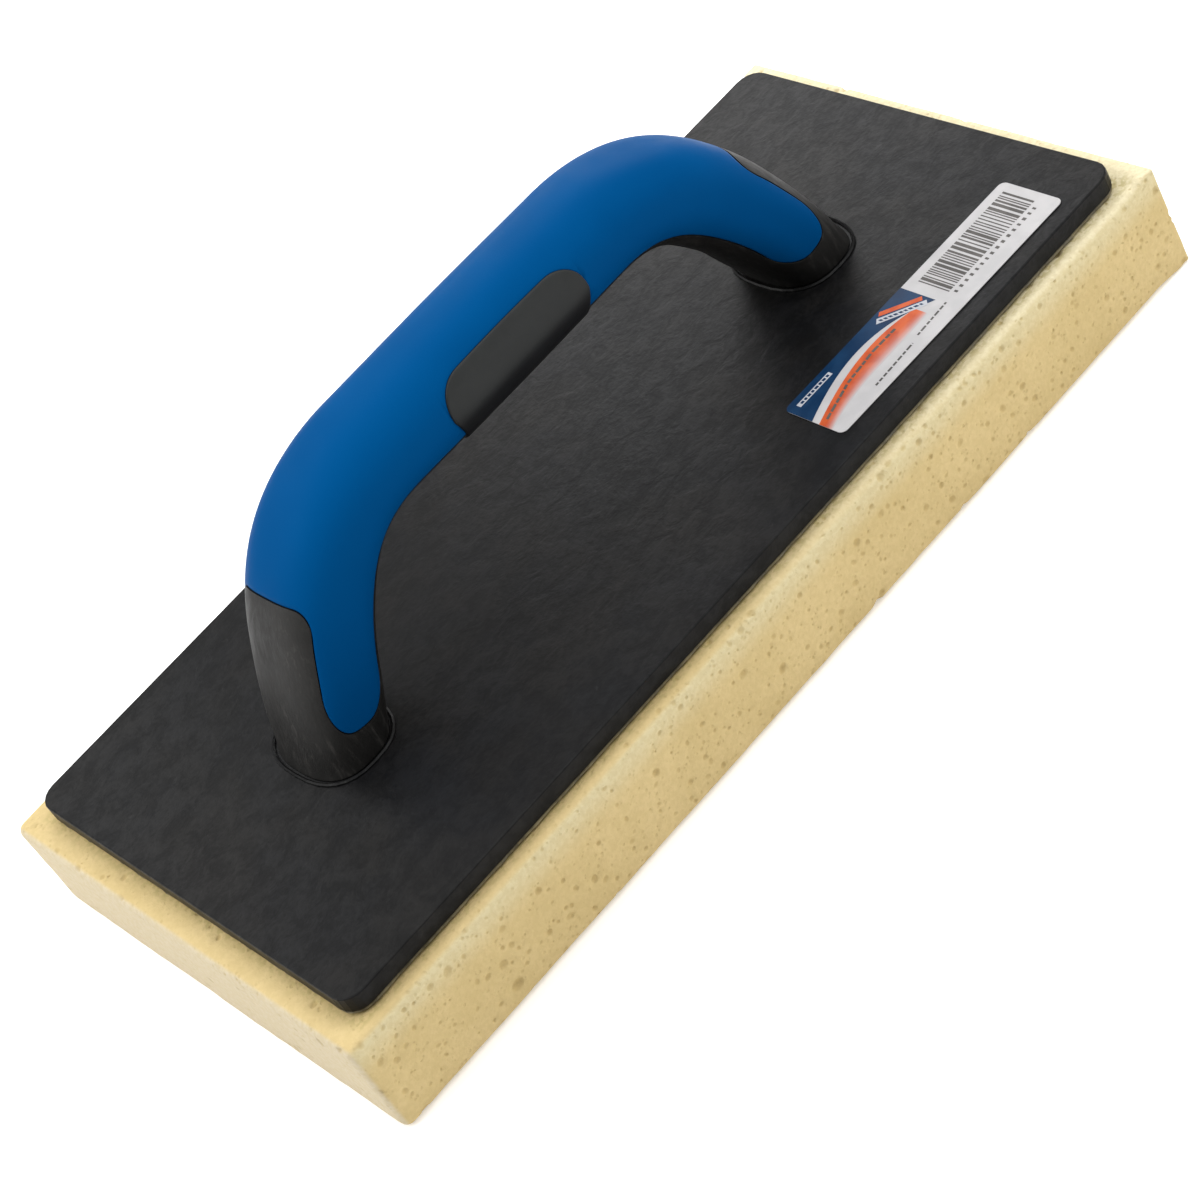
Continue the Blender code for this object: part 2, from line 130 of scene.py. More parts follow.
def handle_path():
    """Arc length, centre (x, z above the feet) and section tilt, at close steps along the handle."""
    foot = np.array((FOOT_X, 0.0))
    leg_end = foot + LEG_PULL * np.array((-math.sin(LEG_LEAN), math.cos(LEG_LEAN)))
    grip_end = np.array((GRIP_HALF_LENGTH, GRIP_HEIGHT))
    bend_start = grip_end + np.array((BEND_PULL, 0.0))
    t = np.linspace(0.0, 1.0, PATH_STEPS)[:, None]
    bend = (1 - t) ** 3 * foot + 3 * (1 - t) ** 2 * t * leg_end
    bend = bend + 3 * (1 - t) * t ** 2 * bend_start + t ** 3 * grip_end
    half = np.vstack((bend, ((GRIP_HALF_LENGTH / 2, GRIP_HEIGHT), (0.0, GRIP_HEIGHT))))
    whole = np.vstack((half, half[-2::-1] * (-1.0, 1.0)))
    steps = np.linalg.norm(np.diff(whole, axis=0), axis=1)
    length = np.concatenate(((0.0,), np.cumsum(steps)))
    heading = np.unwrap(np.arctan2(np.gradient(whole[:, 1], length), np.gradient(whole[:, 0], length)))
    upright = np.where(length < length[-1] / 2, math.pi / 2, 3 * math.pi / 2)
    share = np.clip(whole[:, 1] / UPRIGHT_HEIGHT, 0.0, 1.0)
    share = share * share * (3 - 2 * share)
    return length, whole[:, 0], whole[:, 1], upright + (heading - upright) * share


PATH = handle_path()
HANDLE_LENGTH = float(PATH[0][-1])
PAD_CENTRE = HANDLE_LENGTH / 2 - PAD_CENTRE_X
CORE_LOW, CORE_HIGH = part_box("handle_core")
HANDLE_PLACE = np.array(((CORE_LOW.x + CORE_HIGH.x) / 2, (CORE_LOW.y + CORE_HIGH.y) / 2, CORE_LOW.z))


def section_size(station, column):
    """Half-width (column 1) or half-thickness (column 2), eased between the named sections."""
    share = np.clip(np.minimum(station, HANDLE_LENGTH - station) / (HANDLE_LENGTH / 2), 0.0, 1.0)
    size = np.full_like(share, SECTIONS[0][column])
    for before, after in zip(SECTIONS, SECTIONS[1:]):
        t = np.clip((share - before[0]) / (after[0] - before[0]), 0.0, 1.0)
        size = size + (after[column] - before[column]) * t * t * (3 - 2 * t)
    return size


def eased(value, low, high):
    """Share of the way from low to high, smoothly, 0 to 1."""
    t = np.clip((value - low) / (high - low), 0.0, 1.0)
    return t * t * (3 - 2 * t)


def section_power(station, turn):
    """The legs are squarer than the grip on their outer side, with a crease beside the panel."""
    own = np.minimum(station, HANDLE_LENGTH - station)
    share = eased(own, LEG_POWER_FROM, LEG_POWER_FULL) - eased(own, LEG_POWER_UNTIL, LEG_POWER_GONE)
    return SECTION_POWER + (LEG_POWER - SECTION_POWER) * share * (np.sin(turn) > 0)


def surface_points(station, angle, depth):
    """Points at arc lengths, section angles in degrees and depths below the surface."""
    heading = np.interp(station, PATH[0], PATH[3])
    turn = np.radians(angle)
    power = 2 / section_power(station, turn)
    across = np.copysign(np.abs(np.cos(turn)) ** power, np.cos(turn))
    outward = np.copysign(np.abs(np.sin(turn)) ** power, np.sin(turn))
    reach = (section_size(station, 2) - depth) * outward
    x = np.interp(station, PATH[0], PATH[1]) + np.sin(heading) * reach
    y = (section_size(station, 1) - depth) * across
    z = np.interp(station, PATH[0], PATH[2]) - np.cos(heading) * reach
    return np.stack((x, y, z), axis=-1) + HANDLE_PLACE


def round_off(share):
    """Drop of a quarter circle of radius 1 at a share of its run."""
    share = np.clip(share, 0.0, 1.0)
    return 1 - np.sqrt(1 - share * share)


def crown_edge(grow):
    """Side angle where the tongue ends and the black panel begins."""
    return TONGUE_CROWN_ANGLE + math.degrees(grow / MEAN_RADIUS)


def tongue_start(side, grow):
    """Arc length from the foot to the tongue's rounded tip."""
    reach = np.where(side > 0, crown_edge(grow), TONGUE_BELLY_ANGLE + math.degrees(grow / MEAN_RADIUS))
    return TONGUE_TIP - grow + TONGUE_ROUND * round_off(np.abs(side) / reach)


def panel_start(side, grow):
    """Arc length from the foot to the top of the black panel, its corners rounded."""
    over = (crown_edge(grow) + PANEL_CORNER_ANGLE - side) / PANEL_CORNER_ANGLE
    return PANEL_TOP - grow - PANEL_CORNER * round_off(over)


def pad_top(station, grow):
    """Side angle of the finger pad's upper edge, its ends rounded off; NaN beyond the pad."""
    along = abs(station - PAD_CENTRE) - (PAD_HALF_LENGTH + grow - PAD_ROUND)
    if along > PAD_ROUND + EDGE_STEP / 2:
        return math.nan
    top = PAD_TOP_ANGLE + math.degrees(grow / MEAN_RADIUS)
    return top - (top - PAD_SHOULDER_ANGLE) * float(round_off(along / PAD_ROUND))


def level_row(station):
    return lambda side: np.full_like(side, station)


def waisted_row(offset, waist):
    """A row across the grip that draws in towards the pad's middle as it nears the belly."""

    def row(side):
        left = 1 - np.clip((PAD_SHOULDER_ANGLE - side) / PAD_WAIST_ANGLE, 0.0, 1.0)
        return PAD_CENTRE + offset * (1 - (1 - left * left) * waist / PAD_HALF_LENGTH)

    return row


def pad_rows(grow, rim=0.0):
    """Rows that shape the finger pad's two round ends and its middle, with a rim row beyond each."""
    turns = np.linspace(math.pi / 2, 0.0, 12)
    offsets = [PAD_HALF_LENGTH + grow - PAD_ROUND * (1 - math.sin(turn)) for turn in turns]
    inner = list(np.linspace(-offsets[-1], offsets[-1], 24)[1:-1])
    if rim:
        offsets.insert(0, offsets[0] + rim)
    every = [-value for value in offsets] + inner + offsets[::-1]
    return [waisted_row(value, PAD_WAIST - 2 * grow) for value in every]


def tongue_row(share, grow, lap):
    """A row part of the way up the tongue and the panel, to end a lap short of the panel's top."""

    def row(side):
        start = tongue_start(np.minimum(side, crown_edge(grow)), grow)
        station = start + (CORNER - grow - lap - start) * share
        return station * panel_start(side, grow) / (CORNER - grow)

    return row


def upper_row(share, grow):
    """A row part of the way from the panel's top to the first level row."""
    return lambda side: panel_start(side, grow) * (1 - share) + LEG_ZONE * share


def leg_rows(grow, lap):
    """Rows up the front leg from the tongue's tip, each a function from side angles to arc lengths."""
    up_tongue = np.linspace(0.0, 1.0, TONGUE_ROWS + 1) ** TONGUE_CROWDING
    tongue = [tongue_row(s, grow, lap) for s in (up_tongue if lap else up_tongue[:-1])]
    return tongue + [upper_row(s, grow) for s in np.linspace(0.0, 1.0, 16)[:-1]]


def mirrored(rows):
    return [lambda side, row=row: HANDLE_LENGTH - row(side) for row in reversed(rows)]


def grid_rows(grow, lap=0.0):
    """Rows of the cover and the core between the two tongue tips, front to rear."""
    shaped = pad_rows(GAP, EDGE_STEP)
    level = np.zeros(1)
    before = np.linspace(LEG_ZONE, float(shaped[0](level)[0]), 34)[:-1]
    after = np.linspace(float(shaped[-1](level)[0]), HANDLE_LENGTH - LEG_ZONE, 34)[1:]
    ends = leg_rows(grow, lap)
    middle = [level_row(s) for s in before] + shaped + [level_row(s) for s in after]
    return ends + middle + mirrored(ends)


def cover_columns(grow, pair=0.0):
    """Side angles from the crown to the cover's belly edge, with a pair at the tongue's edge if asked."""
    crown = spread(90.0, crown_edge(grow) + pair, 18)
    belly_edge = -TONGUE_BELLY_ANGLE - math.degrees(grow / MEAN_RADIUS)
    side = spread(crown_edge(grow), belly_edge, 28)
    return np.concatenate((crown, side if pair else side[1:]))


def both_sides(angles):
    """Turns side angles, from the crown down, into section angles from one side to the other."""
    return np.concatenate((angles[:0:-1], 180.0 - angles))


def side_angle(angle):
    return np.where(angle > 270.0, angle - 360.0, np.where(angle < 90.0, angle, 180.0 - angle))


def squeezed(side, top):
    """Moves side angles of the cover up, so that the cover stops above the finger pad."""
    if math.isnan(top):
        return side
    share = (COVER_KEEP_ANGLE - side) / (COVER_KEEP_ANGLE + TONGUE_BELLY_ANGLE)
    return np.where(side > COVER_KEEP_ANGLE, side, COVER_KEEP_ANGLE - share * (COVER_KEEP_ANGLE - top))


def edge_drop(distance, radius):
    """How far a surface falls away at a distance from a rounded edge."""
    inside = np.clip(radius - distance, 0.0, radius)
    return radius - np.sqrt(radius ** 2 - inside ** 2)


def border_of(faces):
    """Pairs of vertices, each an edge that only one face has."""
    ways = {(a, b) for face in faces for a, b in zip(face, face[1:] + face[:1])}
    return np.array([(a, b) for a, b in sorted(ways) if (b, a) not in ways])


def distance_to(outline, points):
    """Shortest distance from each point to an outline, given as an array of segments' ends."""
    start, step = outline[:, 0], outline[:, 1] - outline[:, 0]
    long_enough = np.linalg.norm(step, axis=1) > 1e-9
    start, step = start[long_enough], step[long_enough]
    flat = points.reshape(-1, 3)
    nearest = np.empty(len(flat))
    for first in range(0, len(flat), 2000):
        part = flat[first:first + 2000, None, :] - start
        share = np.clip((part * step).sum(-1) / (step * step).sum(-1), 0.0, 1.0)
        nearest[first:first + 2000] = np.linalg.norm(part - share[..., None] * step, axis=-1).min(1)
    return nearest.reshape(points.shape[:-1])


# ------------------------------------------------------------------ mesh helpers

def make_piece(name, vertices, faces, material, slot, smooth_angle):
    """A shown piece, riding on the rigid body, smooth apart from edges sharper than smooth_angle."""
    mesh = bpy.data.meshes.new(name)
    mesh.from_pydata([tuple(v) for v in vertices], [], [tuple(f) for f in faces])
    shape = bmesh.new()
    shape.from_mesh(mesh)
    bmesh.ops.recalc_face_normals(shape, faces=shape.faces)
    shape.to_mesh(mesh)
    shape.free()
    mesh.shade_smooth()
    mesh.set_sharp_from_angle(angle=math.radians(smooth_angle))
    mesh.materials.append(material)
    piece = bpy.data.objects.new(name, mesh)
    bpy.context.scene.collection.objects.link(piece)
    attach(piece, "root")
    return piece


def store(piece, name, values):
    """A number for each vertex, for the piece's material to read."""
    piece.data.attributes.new(name, "FLOAT", "POINT").data.foreach_set("value", values.astype(np.float32))


def grid_faces(rows, columns, closed=False):
    """Quads of a grid of rows by columns of vertices, numbered row by row."""
    faces = []
    for row in range(rows - 1):
        for here in range(columns if closed else columns - 1):
            there = (here + 1) % columns
            low, high = row * columns, (row + 1) * columns
            faces.append((low + here, low + there, high + there, high + here))
    return faces


def shell(outer, inner, faces):
    """Vertices and faces of a closed shell between two surfaces whose points match."""
    count = len(outer)
    inside = [tuple(index + count for index in face[::-1]) for face in faces]
    walls = [(b, a, a + count, b + count) for a, b in border_of(faces)]
    return np.concatenate((outer, inner)), faces + inside + walls


# ------------------------------------------------------------------ material helpers

def new_material(name, **fixed):
    """A Principled material, with the sockets that are the same all over it."""
    material = bpy.data.materials.new(name)
    material.use_nodes = True
    shader = material.node_tree.nodes["Principled BSDF"]
    for socket, value in fixed.items():
        shader.inputs[socket.replace("_", " ")].default_value = value
    return material, material.node_tree, shader


def add(tree, kind, settings=None, **sockets):
    """A shader node with its settings, and its sockets filled with values or linked to others."""
    node = tree.nodes.new("ShaderNode" + kind)
    for key, value in (settings or {}).items():
        setattr(node, key, value)
    for key, value in sockets.items():
        fill(tree, node.inputs[key.replace("_", " ")], value)
    return node


def fill(tree, socket, value):
    """Sets a socket to a value, or links it to another socket."""
    if isinstance(value, bpy.types.NodeSocket):
        tree.links.new(value, socket)
    else:
        socket.default_value = value


def maths(tree, operation, *values):
    node = add(tree, "Math", {"operation": operation})
    for socket, value in zip(node.inputs, values):
        fill(tree, socket, value)
    return node.outputs[0]


def mix(tree, share, first, second):
    node = add(tree, "Mix", {"data_type": "RGBA"})
    for socket, value in zip((node.inputs[0], node.inputs[6], node.inputs[7]), (share, first, second)):
        fill(tree, socket, value)
    return node.outputs[2]


def between(tree, value, low, high, to_low=0.0, to_high=1.0):
    """Smoothly maps a value between two limits."""
    node = add(tree, "MapRange", {"interpolation_type": "SMOOTHSTEP"}, Value=value)
    for socket, number in zip(node.inputs[1:5], (low, high, to_low, to_high)):
        socket.default_value = number
    return node.outputs[0]


def cloud(tree, place, size, detail=3.0, roughness=0.5, warp=0.0):
    """Noise whose blobs are about size metres across."""
    node = add(tree, "TexNoise", Vector=place, Scale=1 / size, Detail=detail, Roughness=roughness)
    node.inputs["Distortion"].default_value = warp
    return node.outputs["Fac"]


def stretched(tree, place, factors):
    """A place with its axes scaled, which stretches a pattern."""
    return add(tree, "Mapping", Vector=place, Scale=factors).outputs[0]


def bumped(tree, height, distance, strength, under=None):
    """A normal that follows a height, over another normal if given."""
    node = add(tree, "Bump", Height=height, Distance=distance, Strength=strength)
    if under:
        tree.links.new(under, node.inputs["Normal"])
    return node.outputs[0]


def rgb(red, green, blue):
    return (red, green, blue, 1.0)


# ------------------------------------------------------------------ materials

def blue_material():
    """Satin soft-touch moulding: a very fine grain and faint cloudiness."""
    tint = rgb(0.05, 0.60, 1.0)
    material, tree, shader = new_material("blue_soft_touch", Specular_IOR_Level=0.02, Specular_Tint=tint)
    place = add(tree, "TexCoord").outputs["Object"]
    broad = between(tree, cloud(tree, place, 0.030, 2.0), 0.35, 0.65)
    blue = mix(tree, broad, rgb(0.0003, 0.057, 0.188), rgb(0.0003, 0.062, 0.202))
    fill(tree, shader.inputs["Base Color"], blue)
    grain = cloud(tree, place, 0.0005, 3.0)
    fill(tree, shader.inputs["Roughness"], between(tree, cloud(tree, place, 0.006), 0.3, 0.7, 0.44, 0.52))
    fill(tree, shader.inputs["Normal"], bumped(tree, grain, 0.00003, 0.5))
    return material


def core_material():
    """Black moulded plastic, scuffed along its length by use."""
    tint = rgb(1.0, 0.98, 0.95)
    material, tree, shader = new_material("black_handle", Specular_IOR_Level=0.36, Specular_Tint=tint)
    place = add(tree, "TexCoord").outputs["Object"]
    along = stretched(tree, place, (1.0, 1.0, 0.16))
    streaks = cloud(tree, along, 0.0016, 4.0, 0.6, 0.4)
    scuffs = between(tree, streaks, 0.50, 0.68)
    blotches = between(tree, cloud(tree, place, 0.012, 4.0, 0.6), 0.35, 0.7)
    worn = maths(tree, "MULTIPLY", scuffs, blotches)
    colour = mix(tree, blotches, rgb(0.0040, 0.0038, 0.0035), rgb(0.0085, 0.0081, 0.0075))
    colour = mix(tree, maths(tree, "MULTIPLY", worn, 0.4), colour, rgb(0.060, 0.056, 0.052))
    fill(tree, shader.inputs["Base Color"], colour)
    fill(tree, shader.inputs["Roughness"], between(tree, streaks, 0.3, 0.7, 0.50, 0.62))
    fine = bumped(tree, cloud(tree, place, 0.0004, 2.0), 0.00003, 0.5)
    fill(tree, shader.inputs["Normal"], bumped(tree, streaks, 0.00012, 0.6, fine))
    return material


def pad_material():
    """Soft dark rubber with a fine even grain; the facet above the ridge is painted lighter and the lower
    facet is painted in shade.
    """
    material, tree, shader = new_material("finger_pad_rubber", Specular_IOR_Level=0.25)
    place = add(tree, "TexCoord").outputs["Object"]
    painted_facet_light = add(tree, "Attribute", {"attribute_name": "painted_facet_light"}).outputs["Fac"]
    broad = cloud(tree, place, 0.008, 3.0)
    cloudy = between(tree, broad, 0.35, 0.65)
    upper = mix(tree, cloudy, rgb(0.0155, 0.0168, 0.0165), rgb(0.0195, 0.0208, 0.0205))
    # Painted light on the pad's upper facet and painted shade on its lower facet.
    fill(tree, shader.inputs["Base Color"], mix(tree, painted_facet_light, rgb(0.0050, 0.0052, 0.0062), upper))
    fill(tree, shader.inputs["Roughness"], between(tree, broad, 0.3, 0.7, 0.50, 0.58))
    fill(tree, shader.inputs["Normal"], bumped(tree, cloud(tree, place, 0.0004, 2.0), 0.00004, 0.5))
    return material


def board_material():
    """Moulded board: a leathery grain of shallow wrinkles, mottled and lightly rubbed."""
    material, tree, shader = new_material("black_board", Specular_IOR_Level=0.12)
    place = add(tree, "TexCoord").outputs["Object"]
    mottle = between(tree, cloud(tree, place, 0.022, 3.0, 0.55), 0.35, 0.65)
    wrinkle = cloud(tree, stretched(tree, place, (0.8, 1.0, 1.0)), 0.0048, 3.0, 0.6, 0.5)
    grain = cloud(tree, place, 0.0013, 3.0, 0.6)
    flecks = between(tree, cloud(tree, place, 0.0026, 4.0, 0.65, 0.6), 0.66, 0.76)
    tone = maths(tree, "ADD", maths(tree, "MULTIPLY", wrinkle, 0.6), maths(tree, "MULTIPLY", grain, 0.4))
    lift = between(tree, tone, 0.38, 0.62)
    cool = mix(tree, lift, rgb(0.0024, 0.0025, 0.0029), rgb(0.0070, 0.0071, 0.0077))
    warm = mix(tree, lift, rgb(0.0030, 0.0028, 0.0027), rgb(0.0082, 0.0077, 0.0073))
    colour = mix(tree, mottle, cool, warm)
    colour = mix(tree, maths(tree, "MULTIPLY", flecks, 0.22), colour, rgb(0.045, 0.044, 0.044))
    fill(tree, shader.inputs["Base Color"], colour)
    fill(tree, shader.inputs["Roughness"], between(tree, tone, 0.38, 0.62, 0.47, 0.41))
    low = bumped(tree, grain, 0.00010, 0.5)
    fill(tree, shader.inputs["Normal"], bumped(tree, wrinkle, 0.00040, 0.40, low))
    return material


def sponge_material():
    """Open-cell sponge: cream, with painted shade down in the pores and in the pinholes between them,
    painted light on the ends, the top of the sides and the far top, and painted shade by the board's edge.
    """
    material, tree, shader = new_material("cream_sponge", Roughness=0.95, Specular_IOR_Level=0.15)
    place = add(tree, "TexCoord").outputs["Object"]
    own = {}
    for name in ("pore", "edge", "end", "painted_board_shade", "far"):
        own[name] = add(tree, "Attribute", {"attribute_name": name}).outputs["Fac"]
    broad = between(tree, cloud(tree, place, 0.022, 4.0, 0.6), 0.35, 0.65)
    cells = cloud(tree, place, 0.0014, 3.0, 0.6)
    pins = add(tree, "TexVoronoi", Vector=place, Scale=620.0, Randomness=1.0).outputs["Distance"]
    few = between(tree, cloud(tree, place, 0.0032, 2.0), 0.44, 0.58)
    pinholes = maths(tree, "MULTIPLY", between(tree, pins, 0.36, 0.14), few)
    colour = mix(tree, broad, rgb(0.560, 0.432, 0.208), rgb(0.605, 0.470, 0.235))
    # Painted light: a paler band along the top of the sides.
    colour = mix(tree, own["edge"], colour, rgb(0.630, 0.545, 0.330))
    # Painted light: the end faces paler, as if lit from the side.
    colour = mix(tree, own["end"], colour, rgb(0.565, 0.487, 0.345))
    # Painted light on the top, growing towards the far end.
    colour = mix(tree, own["far"], colour, rgb(0.730, 0.655, 0.445))
    shade = maths(tree, "MULTIPLY", between(tree, cells, 0.62, 0.40), 0.20)
    colour = mix(tree, shade, colour, rgb(0.44, 0.33, 0.14))
    # Speckled painted shade on the top margin just beyond the board's edge.
    specks = between(tree, cloud(tree, place, 0.0016, 2.0, 0.5), 0.44, 0.58)
    speckled = maths(tree, "MULTIPLY", own["painted_board_shade"], between(tree, specks, 0.0, 1.0, 0.16, 0.62))
    colour = mix(tree, speckled, colour, rgb(0.40, 0.33, 0.13))
    # Painted shade in the pinholes, which are only a bump.
    colour = mix(tree, maths(tree, "MULTIPLY", pinholes, 0.24), colour, rgb(0.40, 0.29, 0.11))
    # Painted shade down in the pores, on top of their real depth.
    colour = mix(tree, maths(tree, "MULTIPLY", own["pore"], 0.46), colour, rgb(0.41, 0.30, 0.12))
    fill(tree, shader.inputs["Base Color"], colour)
    holes = maths(tree, "SUBTRACT", cells, maths(tree, "MULTIPLY", pinholes, 0.5))
    fill(tree, shader.inputs["Normal"], bumped(tree, holes, 0.00040, 0.6))
    return material


def glue_material():
    """Dried contact glue: amber to olive brown, glossy where it has run."""
    material, tree, shader = new_material("amber_glue", Specular_IOR_Level=0.5)
    place = add(tree, "TexCoord").outputs["Object"]
    blots = between(tree, cloud(tree, place, 0.004, 4.0, 0.6), 0.35, 0.65)
    amber = mix(tree, blots, rgb(0.070, 0.055, 0.022), rgb(0.200, 0.160, 0.075))
    fill(tree, shader.inputs["Base Color"], amber)
    fill(tree, shader.inputs["Roughness"], between(tree, blots, 0.0, 1.0, 0.35, 0.60))
    fill(tree, shader.inputs["Normal"], bumped(tree, cloud(tree, place, 0.0015), 0.0003, 0.6))
    return material


def print_material(name, colour, second):
    """Ink on coated paper: a little uneven, with faint paper fibre under it."""
    material, tree, shader = new_material(name, Specular_IOR_Level=0.15)
    place = add(tree, "TexCoord").outputs["Object"]
    uneven = between(tree, cloud(tree, place, 0.006, 3.0), 0.35, 0.65)
    fill(tree, shader.inputs["Base Color"], mix(tree, uneven, rgb(*colour), rgb(*second)))
    fill(tree, shader.inputs["Roughness"], between(tree, uneven, 0.0, 1.0, 0.34, 0.42))
    fill(tree, shader.inputs["Normal"], bumped(tree, cloud(tree, place, 0.0009), 0.00002, 0.4))
    return material


def orange_material():
    """Orange ink that fades into the white paper on its far side."""
    material, tree, shader = new_material("label_orange", Specular_IOR_Level=0.15, Roughness=0.40)
    place = add(tree, "TexCoord").outputs["Object"]
    fade = add(tree, "Attribute", {"attribute_name": "fade"}).outputs["Fac"]
    uneven = between(tree, cloud(tree, place, 0.004, 3.0), 0.35, 0.65)
    ink = mix(tree, uneven, rgb(0.40, 0.058, 0.014), rgb(0.50, 0.095, 0.026))
    fill(tree, shader.inputs["Base Color"], mix(tree, fade, ink, rgb(0.42, 0.39, 0.39)))
    return material


def steel_material():
    """Zinc-plated steel with a faint turned grain."""
    material, tree, shader = new_material("zinc_plated_steel", Metallic=1.0)
    place = add(tree, "TexCoord").outputs["Object"]
    grain = cloud(tree, stretched(tree, place, (1.0, 1.0, 6.0)), 0.0008, 3.0)
    zinc = mix(tree, grain, rgb(0.50, 0.49, 0.46), rgb(0.62, 0.61, 0.58))
    fill(tree, shader.inputs["Base Color"], zinc)
    fill(tree, shader.inputs["Roughness"], between(tree, grain, 0.3, 0.7, 0.28, 0.42))
    return material


def floor_material():
    material, tree, shader = new_material("studio_floor", Roughness=0.9, Specular_IOR_Level=0.1)
    place = add(tree, "TexCoord").outputs["Object"]
    faint = cloud(tree, place, 0.3, 3.0)
    white = mix(tree, faint, rgb(0.86, 0.86, 0.86), rgb(0.89, 0.89, 0.89))
    fill(tree, shader.inputs["Base Color"], white)
    shader.inputs["Emission Color"].default_value = rgb(1.0, 1.0, 1.0)
    shader.inputs["Emission Strength"].default_value = 0.30
    return material


# ------------------------------------------------------------------ handle pieces

def build_cover(material):
    """Blue overmould with soft edges. Returns the segments of its outline."""
    angles = both_sides(cover_columns(0.0))
    stations, turns = [], []
    for row in grid_rows(0.0):
        top = pad_top(float(row(np.zeros(1))[0]), GAP)
        side = squeezed(side_angle(angles), top)
        stations.append(row(side))
        turns.append(np.where(angles < 90.0, side, 180.0 - side))
    stations, turns = np.array(stations).ravel(), np.array(turns).ravel()
    columns = len(angles)
    rows = len(stations) // columns
    on_panel = side_angle(angles) > crown_edge(0.0) - EDGE_STEP_ANGLE
    faces = []
    for face in grid_faces(rows, columns):
        row, column = divmod(face[0], columns)
        beside = min(row, rows - 2 - row) < TONGUE_ROWS
        if not (beside and on_panel[column] and on_panel[column + 1]):
            faces.append(face)
    used, faces = np.unique(np.array(faces), return_inverse=True)
    faces = [tuple(face) for face in faces.reshape(-1, 4).tolist()]
    stations, turns = stations[used], turns[used]
    flush = surface_points(stations, turns, 0.0)
    outline = flush[border_of(faces)]
    by_pad = 1 - eased(np.abs(stations - PAD_CENTRE), PAD_HALF_LENGTH, PAD_HALF_LENGTH + BY_PAD_REACH)
    radius = COVER_EDGE + (COVER_EDGE_BY_PAD - COVER_EDGE) * by_pad
    outer = surface_points(stations, turns, edge_drop(distance_to(outline, flush), radius))
    inner = surface_points(stations, turns, COVER_THICKNESS)
    piece = make_piece("grip_cover_skin", *shell(outer, inner, faces), material, "handle_blue", 50.0)
    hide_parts("grip_cover")
    return outline


def build_pad(material):
    """Finger pad with rolled edges and a soft ridge along each side. Returns its outline's segments."""
    columns = spread(-1.0, 1.0, 72)
    stations, turns = [], []
    for row in pad_rows(PAD_FILL):
        turn = 270.0 + (90.0 + pad_top(float(row(np.zeros(1))[0]), PAD_FILL)) * columns
        stations.append(row(side_angle(turn)))
        turns.append(turn)
    faces = grid_faces(len(stations), len(columns))
    stations, turns = np.array(stations).ravel(), np.array(turns).ravel()
    flush = surface_points(stations, turns, 0.0)
    outline = flush[border_of(faces)]
    inset = distance_to(outline, flush)
    ridge = 1 - np.abs(side_angle(turns) - PAD_RIDGE_ANGLE) / PAD_RIDGE_REACH
    ridge = PAD_RIDGE * np.clip(ridge, 0.0, 1.0) * eased(inset, 0.0, PAD_RIDGE_INSET)
    outer = surface_points(stations, turns, edge_drop(inset, PAD_EDGE) - PAD_PROUD - ridge)
    inner = surface_points(stations, turns, COVER_THICKNESS)
    piece = make_piece("finger_pad_skin", *shell(outer, inner, faces), material, "pad_black", 50.0)
    # Painted light: full on the pad's upper facet, fading to painted shade on the lower facet.
    lit = eased(side_angle(turns), PAD_PAINTED_LIGHT_FROM, PAD_PAINTED_LIGHT_FULL)
    store(piece, "painted_facet_light", np.concatenate((lit, lit)))
    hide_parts("finger_pad")
    return outline


def build_core(material, outlines):
    """Black moulding, let in under the cover and the pad, with a soft lip along their outlines."""
    inner_rows = grid_rows(RECESS_GAP, EDGE_STEP)
    tip = tongue_row(0.0, RECESS_GAP, EDGE_STEP)
    foot = [lambda side, s=s: (tip(side) - EDGE_STEP) * s for s in spread(0.0, 1.0, 14)]
    rows = foot + inner_rows + mirrored(foot)
    columns = cover_columns(RECESS_GAP, EDGE_STEP_ANGLE)
    cover_edge = columns[-1]
    belly = spread(cover_edge - 2 * EDGE_STEP_ANGLE, -90.0, 16)
    angles = both_sides(np.concatenate((columns, belly)))[:-1]
    sides = side_angle(angles)
    stations = np.array([row(sides) for row in rows])
    turns = np.tile(angles, (len(rows), 1))
    flush = surface_points(stations, turns, 0.0)
    distance = np.minimum(*(distance_to(outline, flush) for outline in outlines))
    depth = edge_drop(np.maximum(distance - RECESS_GAP, 0.0), CORE_EDGE)
    room = COVER_THICKNESS + GAP
    for index, row in enumerate(rows):
        from_end = min(index, len(rows) - 1 - index)
        if from_end >= len(foot):
            beside_panel = from_end <= len(foot) + TONGUE_ROWS
            highest = crown_edge(RECESS_GAP) + EDGE_STEP_ANGLE / 2 if beside_panel else 90.0
            depth[index][(sides >= cover_edge) & (sides <= highest)] = room
        if not math.isnan(pad_top(float(row(np.zeros(1))[0]), GAP)):
            depth[index] = room
    points = surface_points(stations, turns, depth)
    count = points.shape[0] * points.shape[1]
    faces = grid_faces(*points.shape[:2], closed=True)
    faces.append(tuple(range(points.shape[1])))
    faces.append(tuple(range(count - points.shape[1], count)))
    piece = make_piece("handle_core_body", points.reshape(-1, 3), faces, material, "handle_black", 50.0)
    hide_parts("handle_core")


# ------------------------------------------------------------------ sponge

SPONGE_LOW, SPONGE_HIGH = (np.array(corner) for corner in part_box("sponge_pad"))
SPONGE_ROUND = 0.0026
SEED = 7

# The far end is sharper, and its top stands proud of the glued part.
FAR_ROUND = 0.0008
FAR_TAPER = 0.0120
FAR_SWELL = 0.0008
SWELL_BEYOND = (0.0003, 0.0020)
SWELL_HEIGHTS = (0.0230, 0.0275)

